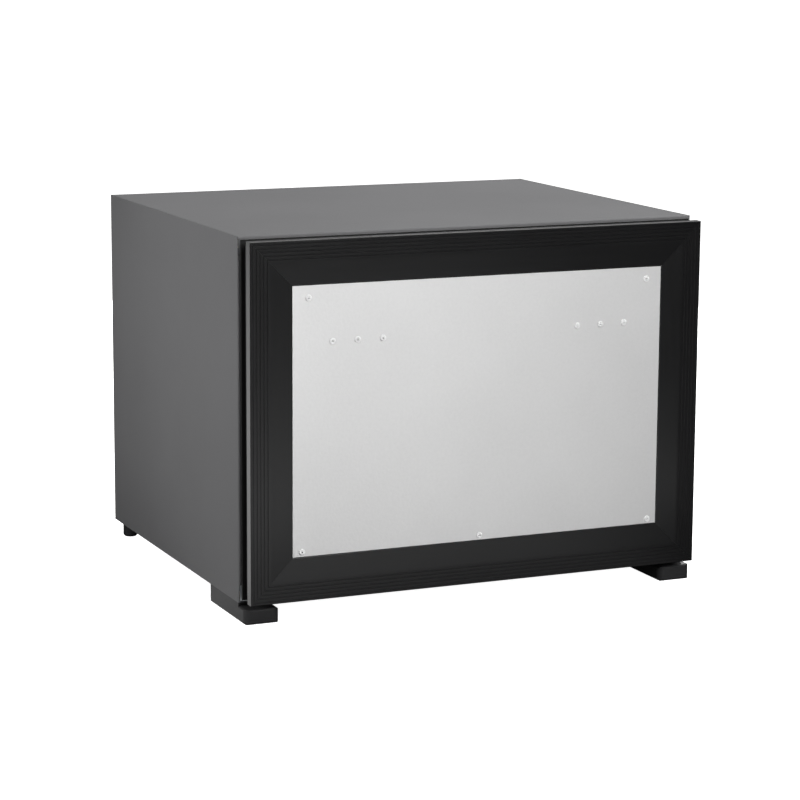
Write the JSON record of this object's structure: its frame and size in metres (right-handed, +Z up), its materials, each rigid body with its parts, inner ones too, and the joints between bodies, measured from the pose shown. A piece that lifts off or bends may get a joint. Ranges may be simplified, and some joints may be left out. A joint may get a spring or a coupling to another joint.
{
  "type": "minibar fridge",
  "caption": "Low wide hotel minibar fridge with a pull-out insulated drawer: steel cabinet, black mitred frame round a bare plate that takes a furniture panel, and a compressor at the back.",
  "frame": {"origin": "middle of the footprint, on the floor under the feet", "axes": "+X to the right seen from the front, +Y from the front to the back, +Z up"},
  "size_m": [0.56, 0.48, 0.429],
  "materials": {
    "cabinet_paint": "satin dark grey paint",
    "galvanised_steel": "galvanised",
    "insulation_foam": "foamed",
    "liner_plastic": "vacuum formed",
    "foot_plastic": "moulded black",
    "frame_plastic": "extruded black",
    "key_zinc": "zinc die casting",
    "plate_aluminium": "bare, stucco embossed",
    "fixing_nylon": "white moulded",
    "gasket_rubber": "soft black",
    "magnet_strip": "flexible magnet",
    "runner_steel": "zinc plated",
    "cage_steel": "stamped",
    "carriage_paint": "white powder coat",
    "screw_steel": "zinc plated",
    "bin_plastic": "moulded light grey",
    "evaporator_aluminium": "roll bonded",
    "spacer_plastic": "moulded",
    "control_plastic": "moulded white",
    "lens_plastic": "clear",
    "thermostat_plastic": "moulded black",
    "knob_plastic": "moulded grey",
    "compressor_paint": "black enamel",
    "grommet_rubber": "moulded",
    "condenser_paint": "black enamel",
    "copper": "drawn tube"
  },
  "bodies": {
    "cabinet": {"side_panel_left": "cabinet_paint", "side_panel_right": "cabinet_paint", "top_panel": "cabinet_paint", "base_panel": "galvanised_steel", "rear_panel": "galvanised_steel", "chassis_plate": "galvanised_steel", "compressor_mount": "galvanised_steel", "cabinet_foam": "insulation_foam", "cabinet_liner": "liner_plastic", "front_foot_left": "foot_plastic", "front_foot_right": "foot_plastic", "rear_feet": "foot_plastic", "runner_outer_left": "runner_steel", "runner_outer_right": "runner_steel", "runner_screws": "screw_steel", "evaporator_screws": "screw_steel", "compressor_studs": "screw_steel", "evaporator_plate": "evaporator_aluminium", "evaporator_spacers": "spacer_plastic", "control_housing": "control_plastic", "lamp_lens": "lens_plastic", "thermostat_body": "thermostat_plastic", "terminal_cover": "thermostat_plastic", "condenser_clips": "thermostat_plastic", "compressor_shell": "compressor_paint", "compressor_grommets": "grommet_rubber", "condenser_tube": "condenser_paint", "condenser_wires": "condenser_paint", "discharge_tube": "copper", "filter_drier": "copper", "capillary_tube": "copper", "suction_tube": "copper"},
    "drawer": {"frame_top": "frame_plastic", "frame_bottom": "frame_plastic", "frame_left": "frame_plastic", "frame_right": "frame_plastic", "corner_keys": "key_zinc", "front_plate": "plate_aluminium", "panel_fixings": "fixing_nylon", "handle_fixings": "fixing_nylon", "door_foam": "insulation_foam", "door_liner": "liner_plastic", "gasket": "gasket_rubber", "gasket_magnets": "magnet_strip", "carriage_rail_left": "carriage_paint", "carriage_rail_right": "carriage_paint", "carriage_bar": "carriage_paint", "carriage_screws": "screw_steel", "drawer_bin": "bin_plastic", "bin_dividers": "bin_plastic", "runner_inner_left": "runner_steel", "runner_inner_right": "runner_steel"},
    "knob": {"thermostat_knob": "knob_plastic"},
    "runner_middle_left_body": {"runner_middle_left": "runner_steel"},
    "runner_middle_right_body": {"runner_middle_right": "runner_steel"},
    "cage_outer_left_body": {"cage_outer_left": "cage_steel"},
    "cage_outer_right_body": {"cage_outer_right": "cage_steel"},
    "cage_inner_left_body": {"cage_inner_left": "cage_steel"},
    "cage_inner_right_body": {"cage_inner_right": "cage_steel"}
  },
  "joints": [
    {"name": "drawer_slide", "type": "slide", "parent": "cabinet", "child": "drawer", "axis": [0, -1, 0], "range_m": [0, 0.33]},
    {"name": "thermostat_turn", "type": "hinge", "parent": "cabinet", "child": "knob", "pos_m": [0.174, -0.167, 0.3641], "axis": [0, 0, 1], "range_deg": [0, 270]},
    {"name": "runner_middle_left_slide", "type": "slide", "parent": "cabinet", "child": "runner_middle_left_body", "axis": [0, -1, 0], "range_m": [0, 0.165]},
    {"name": "runner_middle_right_slide", "type": "slide", "parent": "cabinet", "child": "runner_middle_right_body", "axis": [0, -1, 0], "range_m": [0, 0.165]},
    {"name": "cage_outer_left_slide", "type": "slide", "parent": "cabinet", "child": "cage_outer_left_body", "axis": [0, -1, 0], "range_m": [0, 0.0825]},
    {"name": "cage_outer_right_slide", "type": "slide", "parent": "cabinet", "child": "cage_outer_right_body", "axis": [0, -1, 0], "range_m": [0, 0.0825]},
    {"name": "cage_inner_left_slide", "type": "slide", "parent": "cabinet", "child": "cage_inner_left_body", "axis": [0, -1, 0], "range_m": [0, 0.2475]},
    {"name": "cage_inner_right_slide", "type": "slide", "parent": "cabinet", "child": "cage_inner_right_body", "axis": [0, -1, 0], "range_m": [0, 0.2475]}
  ],
  "couplings": [
    {"joint": "runner_middle_left_slide", "follows": "drawer_slide", "ratio": 0.5},
    {"joint": "runner_middle_right_slide", "follows": "drawer_slide", "ratio": 0.5},
    {"joint": "cage_outer_left_slide", "follows": "drawer_slide", "ratio": 0.25},
    {"joint": "cage_outer_right_slide", "follows": "drawer_slide", "ratio": 0.25},
    {"joint": "cage_inner_left_slide", "follows": "drawer_slide", "ratio": 0.75},
    {"joint": "cage_inner_right_slide", "follows": "drawer_slide", "ratio": 0.75}
  ]
}
